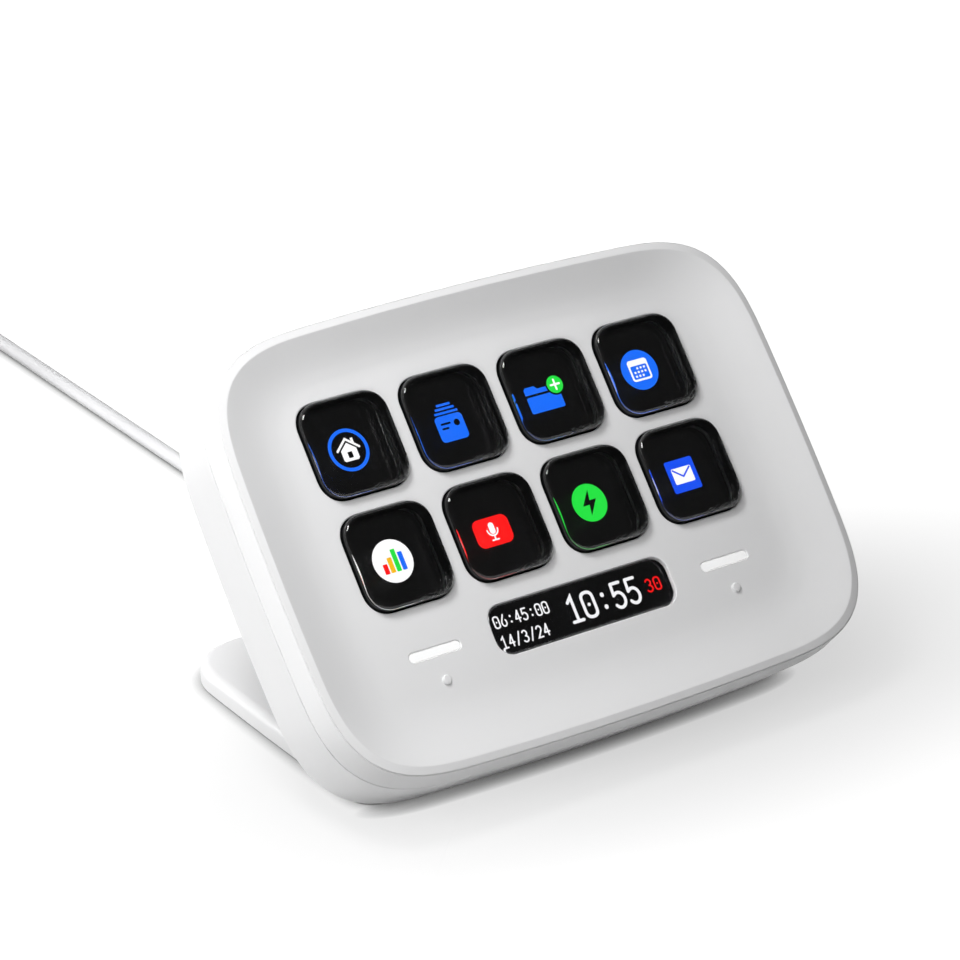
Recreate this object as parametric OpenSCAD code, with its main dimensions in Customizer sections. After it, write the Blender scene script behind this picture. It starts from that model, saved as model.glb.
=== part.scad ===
// Desk keypad with eight clear display keys, an information window and two
// touch bars. The housing leans back on a flat foot. Millimetres, +Z up, +X to
// the right, +Y to the back, origin under the middle of the object on the desk.
// "Slab" means the leaning housing: its own x runs right, y up the face and z
// out of the face, with z = 0 on the flat middle of the dished front.

/* [Housing] */
// Width of the housing front, edge to edge
slab_w = 106; // [100:1:130]
// Height of the housing front, edge to edge
slab_h = 76.8; // [74:0.4:90]
// Lean of the face: angle between the face and the desk
tilt = 49.5; // [40:0.5:60]
// Thickness of the housing from the outer front edge to the back
slab_t = 17.4; // [17:0.2:22]
// Depth of the front's side wall, from its outer edge to the seam
side_wall = 5; // [4.6:0.1:5.6]
// Reach of each rounded corner along the sides
corner_r = 23.4; // [18:0.2:30]
// How far the left and right sides bow outward
bow_x = 1.1; // [0:0.1:2]
// How far the top and bottom sides bow outward
bow_y = 1.6; // [0:0.1:2]
// How much the outline widens from the front edge to the seam
draft = 0.6; // [0.2:0.1:1.2]
// Wall of the rear shell
wall = 2; // [1.6:0.1:2.4]
// Radius of the rear shell's back edge
back_r = 1.2; // [0.8:0.1:3]

/* [Dished front] */
// Depth of the dish under its crest
dish_depth = 3.1; // [2:0.1:4]
// Width of the outer land between the edge and the crest
land_w = 1.4; // [1:0.1:2.4]
// How much lower than the crest the outer edge lies
land_drop = 0.35; // [0.1:0.05:0.8]
// Width of the left and right slopes between the crest and the flat middle
slope_side = 12.6; // [10:0.2:13]
// Width of the slope under the upper crest
slope_top = 9.8; // [8:0.2:10.4]
// Width of the slope over the lower crest
slope_bottom = 12; // [8:0.2:14]
// Thickness of the face plate round the keys
plate_t = 1.2; // [1:0.1:1.6]

/* [Keys] */
// Distance between neighbouring key centres
pitch = 19.4; // [19:0.1:20.4]
// Side of a clear key cap
key_s = 16.4; // [15:0.1:16.8]
// Corner radius of a key cap
key_r = 4.2; // [3:0.1:5]
// Gap between a key cap and its opening
key_gap = 0.2; // [0.15:0.05:0.35]
// How far a key stands out of the face
key_out = 1.5; // [0.8:0.1:2.2]
// Radius of a key cap's front edge
key_edge = 0.7; // [0.4:0.1:1]
// Travel of a key
travel = 1; // [0.6:0.1:1.2]
// Height of the key field's centre above the housing's centre
keys_y = 7.8; // [6:0.1:9]

/* [Information window and touch bars] */
// Width of the information window
info_w = 35.8; // [30:0.2:40]
// Height of the information window
info_h = 8.6; // [7:0.2:10]
// Distance of the window's centre below the housing's centre
info_y = 18.2; // [18:0.1:21]
// Distance of each touch bar from the middle
bar_x = 29; // [27:0.5:33]
// Length of a touch bar
bar_w = 9.8; // [8:0.2:11]
// Height of a touch bar
bar_h = 1.7; // [1.2:0.1:2.4]
// Distance between a touch bar and the bump under it
bump_drop = 4.9; // [4:0.1:6]
// Radius of a bump
bump_r = 0.8; // [0.5:0.1:1.2]

/* [Foot] */
// Width of the foot
foot_w = 85.8; // [70:0.2:96]
// Distance from the housing's centre to the foot's rear edge
foot_back = 46.5; // [42:0.5:60]
// Distance from the housing's centre to the foot's front edge
foot_front = 12; // [10:0.5:14]
// Height of the foot's top over the desk
foot_top = 3.9; // [3.5:0.1:5]
// Thickness of the rubber base pad
pad_t = 0.9; // [0.6:0.1:1.2]
// Inset of the pad from the foot's sides
pad_inset = 0.8; // [0.4:0.1:1.5]
// Width of the neck between foot and housing
neck_w = 62; // [50:1:72]
// Height of the neck over the desk
neck_h = 21; // [17:0.5:26]

/* [Cord] */
// Diameter of the cord
cord_d = 2.8; // [2.4:0.1:3.4]

/* [Hidden] */

// ---- shared clearances and cuts ----
bond_gap = 0.02;
slip_gap = 0.05;
fit_gap = 0.15;
cut = 1;

// ---- levels across the slab's thickness, measured from the flat face ----
edge_z = dish_depth - land_drop;
seam_z = edge_z - side_wall;
seam_gap = 0.25;
back_z = edge_z - slab_t;
floor_z = back_z + wall;
outline_power = 3.5;
corner_steps = 16;
side_steps = 2;
dish_steps = 8;
edge_steps = 4;
tongue_inset = wall + 0.3;
tongue_t = 1.1;
tongue_root = 2.6;
tongue_in = tongue_inset + tongue_t;
root_inset = wall - 0.3;

// ---- keys and what lies behind them ----
key_cols = 4;
key_rows = 2;
key_power = 2.3;
key_steps = 8;
flange_out = 0.7;
flange_s = key_s + 2*flange_out;
flange_t = 0.6;
flange_gap = 0.2;
flange_z = -plate_t - flange_gap - flange_t;
core_inset = 0.6;
core_t = 0.6;
core_s = key_s - 2*core_inset;
cap_back_z = flange_z - core_t;
window_s = core_s + 0.4;
window_r = key_r - 0.4;
mat_t = 0.2;
mat_margin = 0.5;
mat_r = 4;
mat_w = key_cols*pitch + 2*mat_margin;
mat_h = key_rows*pitch + 2*mat_margin;
collar_inset = 0.2;
board_t = 0.6;
key_board_z = flange_z - travel - slip_gap - mat_t - board_t - bond_gap;
key_board_side = 2.6;
key_board_end = 2;
key_board_w = slab_w - 2*(tongue_in + key_board_side);
key_board_h = slab_h - 2*(tongue_in + key_board_end);
key_board_r = 9;
mat_z = key_board_z + board_t + bond_gap;
glass_gap = 0.1;
glass_t = 1.1;
glass_r = 1.5;
display_z = key_board_z - glass_gap;
display_w = key_cols*pitch + 0.4;
display_h = key_rows*pitch + 0.4;
tray_t = 2;
tray_lip = 1;
tray_z = display_z - glass_t - tray_t;
ribbon_w = 12;
ribbon_t = 0.2;
ribbon_out = 3.2;
ribbon_notch = 6;
connector = [3.2, 13, 1.5];

// ---- information window, touch bars and their bumps ----
info_r = 2.8;
lens_z = -2;
lens_sink = 0.3;
lens_flange = 1;
bar_z = -2.4;
bar_sink = 0.15;
bar_flange = 0.8;
bar_gap = 0.1;
bump_h = 0.45;
bump_edge = 0.3;
lamp = [1.6, 0.8, 0.6];
lamp_pitch = 3;

// ---- main board ----
main_t = 1;
main_side = 9;
main_end = 7.4;
main_w = slab_w - 2*main_side;
main_h = slab_h - 2*main_end;
main_r = 10;
standoff_h = 2.2;
main_z = floor_z + standoff_h;
chip_z = main_z + main_t;
chip_t = 1;
main_chip = main_h/5;
row_chip = [2, 1.2, 0.8];
socket = [8, 6, 2.6];

// ---- screws, their bosses and posts ----
case_screw_in = [9.8, 10.2];
board_screw_in = [14, 5];
foot_screw_in = 9;
case_screw = [slab_w/2, slab_h/2] - case_screw_in;
board_screw = [main_w/2, main_h/2] - board_screw_in;
foot_screw_h = 9.8;
thread_d = 2.2;
thread_gap = 0.1;
head_d = 4;
head_t = 1.6;
head_sink = 0.6;
boss_d = 5;
shell_boss_d = boss_d + 2;
standoff_d = 5;
boss_meet_z = tray_z - 0.25;
case_screw_end = -3.05;
foot_thread = 5;
post_d = 2.4;
post_places = [
    [key_board_w/2 - 4, 0], [4 - key_board_w/2, 0],
    [pitch*1.24, key_board_h/2 - 2.5], [-pitch*1.24, key_board_h/2 - 2.5],
    [pitch*1.24, 5 - key_board_h/2], [-pitch*1.24, 5 - key_board_h/2]
];

// ---- foot, worked out on the ground under the slab ----
front_reach = slab_h/2*cos(tilt) + edge_z*sin(tilt);
slab_y = (front_reach - foot_back)/2;
slab_clear = 0.25;
low_arc = (slab_h/2 - back_r)*sin(tilt) - (back_z + back_r)*cos(tilt);
slab_z = low_arc + back_r + slab_clear;
foot_r_back = 11;
foot_r_front = 5;
foot_power = 2.5;
foot_bow_x = 0.4;
foot_bow_y = 0.6;
foot_edge_r = 1.6;
foot_low = 0.3;
seat_gap = slip_gap;
weight_t = 1.5;
weight_r = 4;
weight_side = 10;
weight_front = 14.5;
weight_behind = 4;
weight_w = foot_w - 2*weight_side;
weight_d = foot_back - weight_front - weight_behind;
weight_y = slab_y + foot_back - weight_d/2 - weight_behind;
foot_screw = [neck_w/2 - foot_screw_in, (foot_screw_h - slab_z - back_z*cos(tilt))/sin(tilt)];

// ---- neck, seen from the side: a landing behind the slab, then a hollow ----
landing = 2;
hollow = 15;
neck_r = 7;
neck_sink = 8;
plate_lap = 0.6;
hollow_y = back_y_at(neck_h) + landing + hollow;

// ---- cord, boot and plug ----
boot_z = foot_top + 5.2;
boot_y = slab_y + 6;
boot_l = 24;
boot_base_l = 11;
boot_base_d = 8;
boot_tip_d = cord_d + 1.4;
boot_rings = 5;
boot_groove = 0.7;
lead_drop = boot_z - slab_z;
lead_bend_z = main_z + main_t + cord_d/2;
lead_l = boot_y - slab_y - (lead_drop*cos(tilt) - lead_bend_z)/sin(tilt);
lead_gap = 0.4;
elbow_swell = 0.2;
socket_y = lead_y_at(lead_bend_z) + 6.1;
tie_t = 0.5;
tie_arc = 30;
coil_lanes = 4;
coil_layers = 4;
coil_mid_r = 5.5*cord_d;
coil_w = coil_lanes*cord_d;
coil_h = coil_layers*cord_d;
coil_at = [-19.6, 236];
grip = [12, 20, 6.4];
grip_r = 2.4;
plug = [8.3, 6.7, 2.6];
plug_wall = 0.35;
plug_tongue = [6.7, 5.2, 0.7];
plug_at = [coil_at.x - coil_mid_r + cord_d/2, 180, grip.z/2];
cord_sides = 8;
cord_points = [
    [0, 20.3, 9.1], [0, 24, 9], [0, 28, 8.4], [0, 32, 7.2], [0, 36, 6], [0, 40, 4.6],
    [0, 44, 3.2], [0, 48, 2.2], [0, 52, 1.6], [0, 57, 1.4], [0, 70, 1.4], [0, 90, 1.4],
    [0, 110, 1.4], [0, 130, 1.4], [0, 150, 1.4], [0, 170, 1.4], [0, 190, 1.4],
    [0, 205, 1.4], [0, 216, 1.6], [0, 227, 1.9]
];
end_points = [
    [-33.6, 221, 10.1], [-33.6, 216, 8.6], [-33.6, 211, 6.2], [-33.6, 206, 4.2],
    [-33.6, 200, 3.2]
];

// Point lists of one quarter of the outline, from the right side to the top
function quarter(a, b, r, power) = concat(
    [for (i = [0 : side_steps - 1]) [a, (b - r)*i/side_steps]],
    [for (i = [0 : corner_steps]) let (t = 90*i/corner_steps)
        [a - r + r*pow(cos(t), 2/power), b - r + r*pow(sin(t), 2/power)]],
    [for (i = [1 : side_steps]) [(a - r)*(1 - i/side_steps), b]]);

// Sides that bow outward by bx and by while the corners keep their place
function bowed(points, a, b, bx, by) = [for (p = points)
    [p.x - bx*pow(p.y/b, 2)*p.x/a, p.y - by*pow(p.x/a, 2)*p.y/b]];

// A whole outline from a quarter for the back and a quarter for the front
function whole(q, f) = let (last = len(q) - 1) concat(
    [for (i = [0 : last - 1]) q[i]],
    [for (i = [last : -1 : 1]) [-q[i].x, q[i].y]],
    [for (i = [0 : last - 1]) [-f[i].x, -f[i].y]],
    [for (i = [last : -1 : 1]) [f[i].x, -f[i].y]]);

// Quarter of the slab's outline with half width a, half height b and corner r
function slab_quarter(a, b, r) = bowed(quarter(a, b, r, outline_power), a, b, bow_x, bow_y);

// Outline of the slab, grown or shrunk all round
function slab_outline(grow) = let (
    q = slab_quarter(slab_w/2 + grow, slab_h/2 + grow, corner_r + grow)) whole(q, q);

// Outline of the dish from its crest at 0 to its flat middle at 1
function dish_outline(s) = let (a = slab_w/2 - land_w - slope_side*s,
    b = slab_h/2 - land_w, r = corner_r - land_w - slope_side*s)
    whole(slab_quarter(a, b - slope_top*s, r), slab_quarter(a, b - slope_bottom*s, r));

// Outline of the foot seen from above, grown or shrunk all round
function base_outline(grow) = let (a = foot_w/2 + grow, b = (foot_back + foot_front)/2 + grow) whole(
    bowed(quarter(a, b, foot_r_back + grow, foot_power), a, b, foot_bow_x, foot_bow_y),
    bowed(quarter(a, b, foot_r_front + grow, foot_power), a, b, foot_bow_x, foot_bow_y));

// Distance behind the slab's centre of its back face, at a height over the desk
function back_y_at(h) = (h - slab_z - back_z*cos(tilt))/tan(tilt) - back_z*sin(tilt);

// Place up the slab where the cord's straight lead crosses a level of the slab
function lead_y_at(z) = (lead_drop*cos(tilt) - z)/tan(tilt) + lead_drop*sin(tilt);

// Solid through a stack of rings with the same number of points, ring by ring
module loft(rings) {
    n = len(rings[0]);
    points = [for (ring = rings) each ring];
    sides = [for (k = [0 : len(rings) - 2], i = [0 : n - 1]) let (j = (i + 1)%n)
        each [[k*n + i, (k + 1)*n + i, (k + 1)*n + j], [k*n + i, (k + 1)*n + j, k*n + j]]];
    bottom = [for (i = [0 : n - 1]) i];
    top = [for (i = [n - 1 : -1 : 0]) (len(rings) - 1)*n + i];
    polyhedron(points, concat([bottom], sides, [top]));
}

function lifted(outline, z) = [for (p = outline) [p.x, p.y, z]];

module on_slab() {
    translate([0, slab_y, slab_z]) rotate([tilt, 0, 0]) children();
}

// Draws on the desk, round the middle of the foot's outline
module at_base() {
    translate([0, slab_y + (foot_back - foot_front)/2, 0]) children();
}

// Base pad, or the recess for it, grown or shrunk from the foot's outline
module pad_block(grow) {
    at_base() linear_extrude(pad_t) polygon(base_outline(grow));
}

module rounded_square(w, h, r) {
    square([w - 2*r, h], center = true);
    square([w, h - 2*r], center = true);
    for (x = [-1, 1], y = [-1, 1])
        translate([x*(w/2 - r), y*(h/2 - r)]) circle(r, $fn = 32);
}

module block(w, h, r, z0, z1) {
    translate([0, 0, z0]) linear_extrude(z1 - z0) rounded_square(w, h, r);
}

module slab_plate(grow, z0, z1) {
    translate([0, 0, z0]) linear_extrude(z1 - z0) polygon(slab_outline(grow));
}

module pin(d, z0, z1) {
    translate([0, 0, z0]) cylinder(d = d, h = z1 - z0, $fn = 32);
}

module at_corners(place) {
    for (x = [-1, 1], y = [-1, 1]) translate([x*place.x, y*place.y, 0]) children();
}

// Outline of a key cap, grown or shrunk all round
function key_outline(grow) = let (h = key_s/2 + grow, r = key_r + grow,
    q = [for (i = [0 : key_steps]) let (t = 90*i/key_steps)
        [h - r + r*pow(cos(t), 2/key_power), h - r + r*pow(sin(t), 2/key_power)]]) concat(
    q, [for (i = [key_steps : -1 : 0]) [-q[i].x, q[i].y]],
    [for (p = q) -p], [for (i = [key_steps : -1 : 0]) [q[i].x, -q[i].y]]);

// Centre of key 1 to 8, counted from the top left along each row
function key_at(n) = [((n - 1)%key_cols - (key_cols - 1)/2)*pitch,
    keys_y + ((key_rows - 1)/2 - floor((n - 1)/key_cols))*pitch];

module at_keys() {
    for (n = [1 : key_cols*key_rows]) translate(key_at(n)) children();
}

// Dish of the front: an even slope under the crest that fades out into the flat middle
function dish_ring(k) = let (s = k/dish_steps)
    lifted(dish_outline(s), dish_depth*(1 - (s - pow(s, 4) + 0.6*pow(s, 5))/0.6));

module front_skin() {
    loft(concat(
        [lifted(slab_outline(draft), seam_z + seam_gap/2)],
        [lifted(slab_outline(0), edge_z)],
        [for (k = [0 : dish_steps]) dish_ring(k)]));
}

// Low round nub with a rounded edge, which a fingertip finds
module bump() {
    rotate_extrude($fn = 32) polygon(concat(
        [[0, -plate_t/2], [bump_r, -plate_t/2]],
        [for (k = [0 : edge_steps]) let (a = 90*k/edge_steps)
            [bump_r - bump_edge*(1 - cos(a)), bump_h - bump_edge*(1 - sin(a))]],
        [[0, bump_h]]));
}

module at_sides() {
    for (side = [-1, 1]) translate([side*bar_x, -info_y, 0]) children();
}

module front_openings() {
    at_keys() translate([0, 0, -plate_t - cut]) linear_extrude(plate_t + dish_depth + 2*cut)
        polygon(key_outline(key_gap));
    translate([0, -info_y, 0]) block(info_w, info_h, info_r, -plate_t - cut, dish_depth + cut);
    at_sides() block(bar_w, bar_h, bar_h/2 - bond_gap, -plate_t - cut, dish_depth + cut);
}

module front_bezel() {
    color("white") on_slab() {
        difference() {
            union() {
                front_skin();
                at_sides() translate([0, -bump_drop, 0]) bump();
            }
            slab_plate(-tongue_inset + fit_gap, seam_z - cut, -plate_t);
            front_openings();
        }
        at_corners(case_screw) difference() {
            pin(boss_d, boss_meet_z + slip_gap, -plate_t*0.75);
            pin(thread_d + thread_gap, boss_meet_z - cut, -plate_t - cut);
        }
        for (p = post_places) translate(p)
            pin(post_d, key_board_z + board_t + bond_gap, -plate_t*0.75);
    }
}

module rear_skin(grow) {
    loft(concat(
        [for (k = [edge_steps : -1 : 0]) let (a = 90*k/edge_steps)
            lifted(slab_outline(grow - back_r*(1 - cos(a))), back_z - grow + back_r*(1 - sin(a)))],
        [lifted(slab_outline(draft + grow), seam_z - seam_gap/2)]));
}

// Ring that stands up inside the seam and seats under the face plate
module tongue() {
    difference() {
        union() {
            slab_plate(-root_inset, seam_z - tongue_root, seam_z - seam_gap - 0.5);
            slab_plate(-tongue_inset, seam_z - tongue_root, -plate_t - slip_gap);
        }
        slab_plate(-tongue_in, floor_z, 0);
    }
}

module rear_shell() {
    color("white") on_slab() difference() {
        union() {
            difference() {
                rear_skin(0);
                slab_plate(-wall, floor_z, seam_z + cut);
            }
            tongue();
            at_corners(case_screw) pin(shell_boss_d, floor_z - wall/2, boss_meet_z);
            at_corners(board_screw) pin(standoff_d, floor_z - wall/2, main_z - bond_gap);
        }
        at_corners(case_screw) {
            pin(thread_d + 4*thread_gap, back_z - cut, 0);
            pin(head_d + 4*thread_gap, back_z - cut, back_z + head_sink + head_t);
        }
        at_corners(board_screw) pin(thread_d + thread_gap, floor_z + 0.3, main_z + cut);
        at_foot_screws() pin(thread_d + 3*thread_gap, back_z - cut, floor_z + cut);
        off_slab() lead(cord_d + lead_gap, lead_l + cut);
    }
}

module at_foot_screws() {
    for (x = [-1, 1]) translate([x*foot_screw.x, foot_screw.y, 0]) children();
}

// Draws something of the desk's frame inside on_slab()
module off_slab() {
    rotate([-tilt, 0, 0]) translate([0, -slab_y, -slab_z]) children();
}

// Straight lead, or the hole for it, from the boot forward into the slab
module lead(d, length) {
    translate([0, boot_y, boot_z]) rotate([90, 0, 0]) cylinder(d = d, h = length, $fn = 32);
}

module foot_plate() {
    at_base() loft(concat(
        [lifted(base_outline(0), foot_low)],
        [for (k = [0 : edge_steps]) let (a = 90*k/edge_steps)
            lifted(base_outline(-foot_edge_r*(1 - cos(a))), foot_top - foot_edge_r*(1 - sin(a)))]));
}

// Side view of the neck, running on into the slab, which is cut away later
module neck_side() {
    polygon(concat(
        [[hollow_y, pad_t + plate_lap], [cut - foot_front, pad_t + plate_lap]],
        [[back_y_at(neck_h) - neck_sink, neck_h]],
        [for (k = [0 : 12]) let (a = 180 + 90*k/12)
            [hollow_y + hollow*cos(a), neck_h + (neck_h - foot_top + bond_gap)*sin(a)]]));
}

module neck() {
    intersection() {
        translate([-neck_w/2, slab_y, 0]) rotate([90, 0, 90]) linear_extrude(neck_w) neck_side();
        translate([0, slab_y + (hollow_y - foot_front)/2, 0])
            block(neck_w, hollow_y + foot_front, neck_r, 0, neck_h + cut);
    }
}

module foot() {
    color("white") difference() {
        union() {
            foot_plate();
            neck();
        }
        on_slab() {
            rear_skin(seat_gap);
            at_foot_screws() pin(thread_d + thread_gap, back_z - foot_thread - 2, 0);
        }
        pad_block(thread_gap - pad_inset);
        translate([0, weight_y, 0]) block(weight_w + 2*thread_gap, weight_d + 2*thread_gap,
            weight_r + thread_gap, 0, pad_t + weight_t + thread_gap);
        translate([0, boot_y, boot_z]) rotate([-90, 0, 0])
            cylinder(d = boot_base_d + 2*slip_gap, h = foot_back, $fn = 32);
        lead(cord_d + lead_gap, lead_l + cut);
    }
}

module foot_weight() {
    color("silver") translate([0, weight_y, 0])
        block(weight_w, weight_d, weight_r, pad_t + bond_gap, pad_t + weight_t);
}

module base_pad() {
    color("dimgray") pad_block(-pad_inset);
}

function key_ring(grow, z) = lifted(key_outline(grow), z);

module key_cap(n) {
    color([0.1, 0.1, 0.12, 0.6]) on_slab() translate(key_at(n)) {
        loft(concat([key_ring(0, flange_z + flange_t/2)],
            [for (k = [0 : 3]) let (a = 30*k)
                key_ring(-key_edge*(1 - cos(a)), key_out - key_edge*(1 - sin(a)))]));
        block(flange_s, flange_s, key_r + flange_out, flange_z, flange_z + flange_t);
        block(core_s, core_s, key_r - core_inset, cap_back_z, flange_z + flange_t/2);
    }
}

module dome_mat() {
    collar_s = flange_s - 2*collar_inset;
    collar_hole = window_s + 2*collar_inset;
    color("dimgray") on_slab() {
        difference() {
            translate([0, keys_y, 0]) block(mat_w, mat_h, mat_r, mat_z, mat_z + mat_t);
            at_keys() block(window_s, window_s, window_r, mat_z - cut, 0);
        }
        at_keys() difference() {
            block(collar_s, collar_s, key_r + flange_out - collar_inset,
                mat_z + mat_t/2, flange_z - slip_gap);
            block(collar_hole, collar_hole, window_r + collar_inset, mat_z - cut, 0);
        }
    }
}

module key_board() {
    color("darkgreen") on_slab() difference() {
        block(key_board_w, key_board_h, key_board_r, key_board_z, key_board_z + board_t);
        at_keys() block(window_s, window_s, window_r, key_board_z - cut, 0);
        at_corners(case_screw) pin(boss_d + 12*thread_gap, key_board_z - cut, 0);
    }
}

module key_display() {
    color("black") on_slab() translate([0, keys_y, 0])
        block(display_w, display_h, glass_r, display_z - glass_t, display_z);
}

module display_tray() {
    pocket_w = display_w + 2*glass_gap;
    pocket_h = display_h + 2*glass_gap;
    color("white") on_slab() translate([0, keys_y, 0]) difference() {
        block(pocket_w + 2*tray_lip, pocket_h + 2*tray_lip, glass_r + tray_lip,
            tray_z, key_board_z - bond_gap);
        block(pocket_w, pocket_h, glass_r, display_z - glass_t - bond_gap, 0);
        translate([display_w/2 - ribbon_notch/2, -ribbon_w/2 - cut, tray_z - cut])
            cube([ribbon_notch, ribbon_w + 2*cut, -tray_z + cut]);
    }
}

// Flat ribbon from the display's right edge, folded back onto the main board
module display_ribbon() {
    top = display_z - glass_t;
    fold_z = chip_z + connector.z - ribbon_t - 0.1;
    color("sienna") on_slab() translate([display_w/2 + glass_gap, keys_y - ribbon_w/2, 0]) {
        translate([0, 0, top]) cube([ribbon_out, ribbon_w, ribbon_t]);
        translate([ribbon_out - ribbon_t, 0, fold_z]) cube([ribbon_t, ribbon_w, top + ribbon_t - fold_z]);
        translate([-connector.x/2, 0, fold_z]) cube([ribbon_out + connector.x/2, ribbon_w, ribbon_t]);
        translate([-connector.x*1.25, (ribbon_w - connector.y)/2, chip_z]) cube(connector);
    }
}

module info_lens() {
    color([0.1, 0.1, 0.12, 0.6]) on_slab() translate([0, -info_y, 0]) {
        block(info_w - 2*key_gap, info_h - 2*key_gap, info_r - key_gap, lens_z, -lens_sink);
        block(info_w + 2*lens_flange, info_h + 2*lens_flange, info_r + lens_flange,
            lens_z, -plate_t - slip_gap);
    }
}

module info_display() {
    color("black") on_slab() translate([0, -info_y, 0])
        block(info_w + lens_flange, info_h + lens_flange, glass_r, key_board_z + board_t, lens_z - slip_gap);
}

module touch_bar(side) {
    color("white") on_slab() translate([side*bar_x, -info_y, 0]) {
        block(bar_w - 2*bar_gap, bar_h - 2*bar_gap, bar_h/2 - bar_gap - bond_gap, bar_z, -bar_sink);
        block(bar_w + 2*bar_flange, bar_h + 2*bar_flange, bar_h/2, bar_z, -plate_t - slip_gap);
    }
}

module touch_lamps() {
    color("lightyellow") on_slab() at_sides() for (k = [-1 : 1])
        translate([k*lamp_pitch - lamp.x/2, -lamp.y/2, key_board_z + board_t]) cube(lamp);
}

module main_board() {
    notch_w = cord_d + 5*lead_gap;
    notch_top = lead_y_at(main_z) + cord_d/2/sin(tilt) + lead_gap;
    color("darkgreen") on_slab() difference() {
        block(main_w, main_h, main_r, main_z, main_z + main_t);
        at_corners(case_screw) pin(shell_boss_d + 1, main_z - cut, main_z + main_t + cut);
        at_corners(board_screw) pin(thread_d + 2*thread_gap, main_z - cut, main_z + main_t + cut);
        translate([-notch_w/2, -main_h/2 - cut, main_z - cut])
            cube([notch_w, notch_top + main_h/2 + cut, main_t + 2*cut]);
    }
}

// Chips and a row of small parts, laid out from the largest chip's side
module board_chips() {
    c = main_chip;
    color([0.1, 0.1, 0.1]) on_slab() translate([0, c/3, chip_z]) {
        translate([-0.75*c, 0, 0]) cube([c, c, chip_t]);
        translate([0.65*c, 0.15*c, 0]) cube([0.65*c, c/2, chip_t]);
        translate([-2*c, 0, 0]) cube([0.75*c, 0.6*c, chip_t]);
        translate([-1.7*c, -1.5*c, 0]) cube([0.4*c, 0.4*c, chip_t]);
        for (k = [0 : 5]) translate([(k/3 - 0.5)*c, -c, 0]) cube(row_chip);
    }
}

module board_socket() {
    color("ivory") on_slab() translate([-socket.x/2, socket_y, chip_z]) cube(socket);
}

module inner_lead() {
    bend_y = lead_y_at(lead_bend_z);
    color("white") {
        lead(cord_d, lead_l);
        on_slab() translate([0, bend_y, lead_bend_z]) {
            sphere(d = cord_d + elbow_swell, $fn = 32);
            rotate([-90, 0, 0]) cylinder(d = cord_d, h = socket_y - bend_y - bond_gap, $fn = 32);
        }
    }
}

// Flat-headed screw, head down, with a shaft of the given length under it
module screw(shaft_l) {
    cylinder(d = head_d, h = head_t, $fn = 32);
    cylinder(d = thread_d, h = head_t + shaft_l, $fn = 32);
}

module case_screws() {
    head_z = back_z + head_sink;
    color("gray") on_slab() at_corners(case_screw)
        translate([0, 0, head_z]) screw(case_screw_end - head_z - head_t);
}

module board_screws() {
    color("gray") on_slab() at_corners(board_screw)
        translate([0, 0, chip_z + head_t]) mirror([0, 0, 1]) screw(main_t + standoff_h*0.8);
}

module foot_screws() {
    color("gray") on_slab() at_foot_screws()
        translate([0, 0, floor_z + head_t]) mirror([0, 0, 1]) screw(wall + foot_thread);
}

// Tapered sleeve of the cord with bend rings, turned round the cord's axis
module cord_boot() {
    ring_step = (boot_l - boot_base_l)/boot_rings;
    color("white") translate([0, boot_y, boot_z]) rotate([-90, 0, 0]) rotate_extrude($fn = 48)
        polygon(concat(
            [[0, 2*slip_gap], [boot_base_d/2, 2*slip_gap], [boot_base_d/2, boot_base_l]],
            [for (k = [0 : boot_rings - 1]) let (y = boot_base_l + k*ring_step,
                r = boot_base_d/2 - (boot_base_d - boot_tip_d)/2*(k + 1)/boot_rings)
                each [[r, y + 0.1], [r - 0.1, y + ring_step - boot_groove],
                    [r - boot_groove, y + ring_step - boot_groove + 0.1],
                    [r - boot_groove, y + ring_step]]],
            [[0, boot_l]]));
}

// Tube along a list of points that keep to a plane of constant x
module tube(points, d) {
    last = len(points) - 1;
    rings = [for (i = [0 : last]) let (
        t = points[min(i + 1, last)] - points[max(i - 1, 0)],
        up = [0, -t.z, t.y]/norm([t.y, t.z]))
        [for (s = [0 : cord_sides - 1]) let (a = 360*(s + 0.5)/cord_sides)
            points[i] + d/2*(cos(a)*[1, 0, 0] - sin(a)*up)]];
    loft(rings);
}

module cord() {
    color("white") {
        tube(cord_points, cord_d);
        tube(end_points, cord_d);
    }
}

module coil_section(grow) {
    translate([coil_mid_r, tie_t + coil_h/2])
        rounded_square(coil_w + 2*grow, coil_h + 2*grow, cord_d/2);
}

module cord_coil() {
    color("white") translate([coil_at.x, coil_at.y, 0]) rotate_extrude($fn = 72) coil_section(0);
}

// Strap wound once round the coil at its far side
module coil_tie() {
    color("dimgray") translate([coil_at.x, coil_at.y, 0]) rotate([0, 0, 90 - tie_arc/2])
        rotate_extrude(angle = tie_arc, $fn = 72) difference() {
            coil_section(tie_t);
            coil_section(slip_gap);
        }
}

module plug_grip() {
    color("white") translate(plug_at) translate([0, grip.y, 0]) rotate([90, 0, 0])
        linear_extrude(grip.y) rounded_square(grip.x, grip.z, grip_r);
}

// Drawn shell of the plug, open to the front, with its contact tongue inside
module plug_shell() {
    color("silver") translate(plug_at) rotate([90, 0, 0]) {
        difference() {
            linear_extrude(plug.y) rounded_square(plug.x, plug.z, plug.z/2 - bond_gap);
            translate([0, 0, cut]) linear_extrude(plug.y)
                rounded_square(plug.x - 2*plug_wall, plug.z - 2*plug_wall, plug.z/2 - plug_wall - bond_gap);
        }
        translate([-plug_tongue.x/2, -plug_tongue.z/2, cut/2])
            cube([plug_tongue.x, plug_tongue.z, plug_tongue.y]);
    }
}

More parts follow.
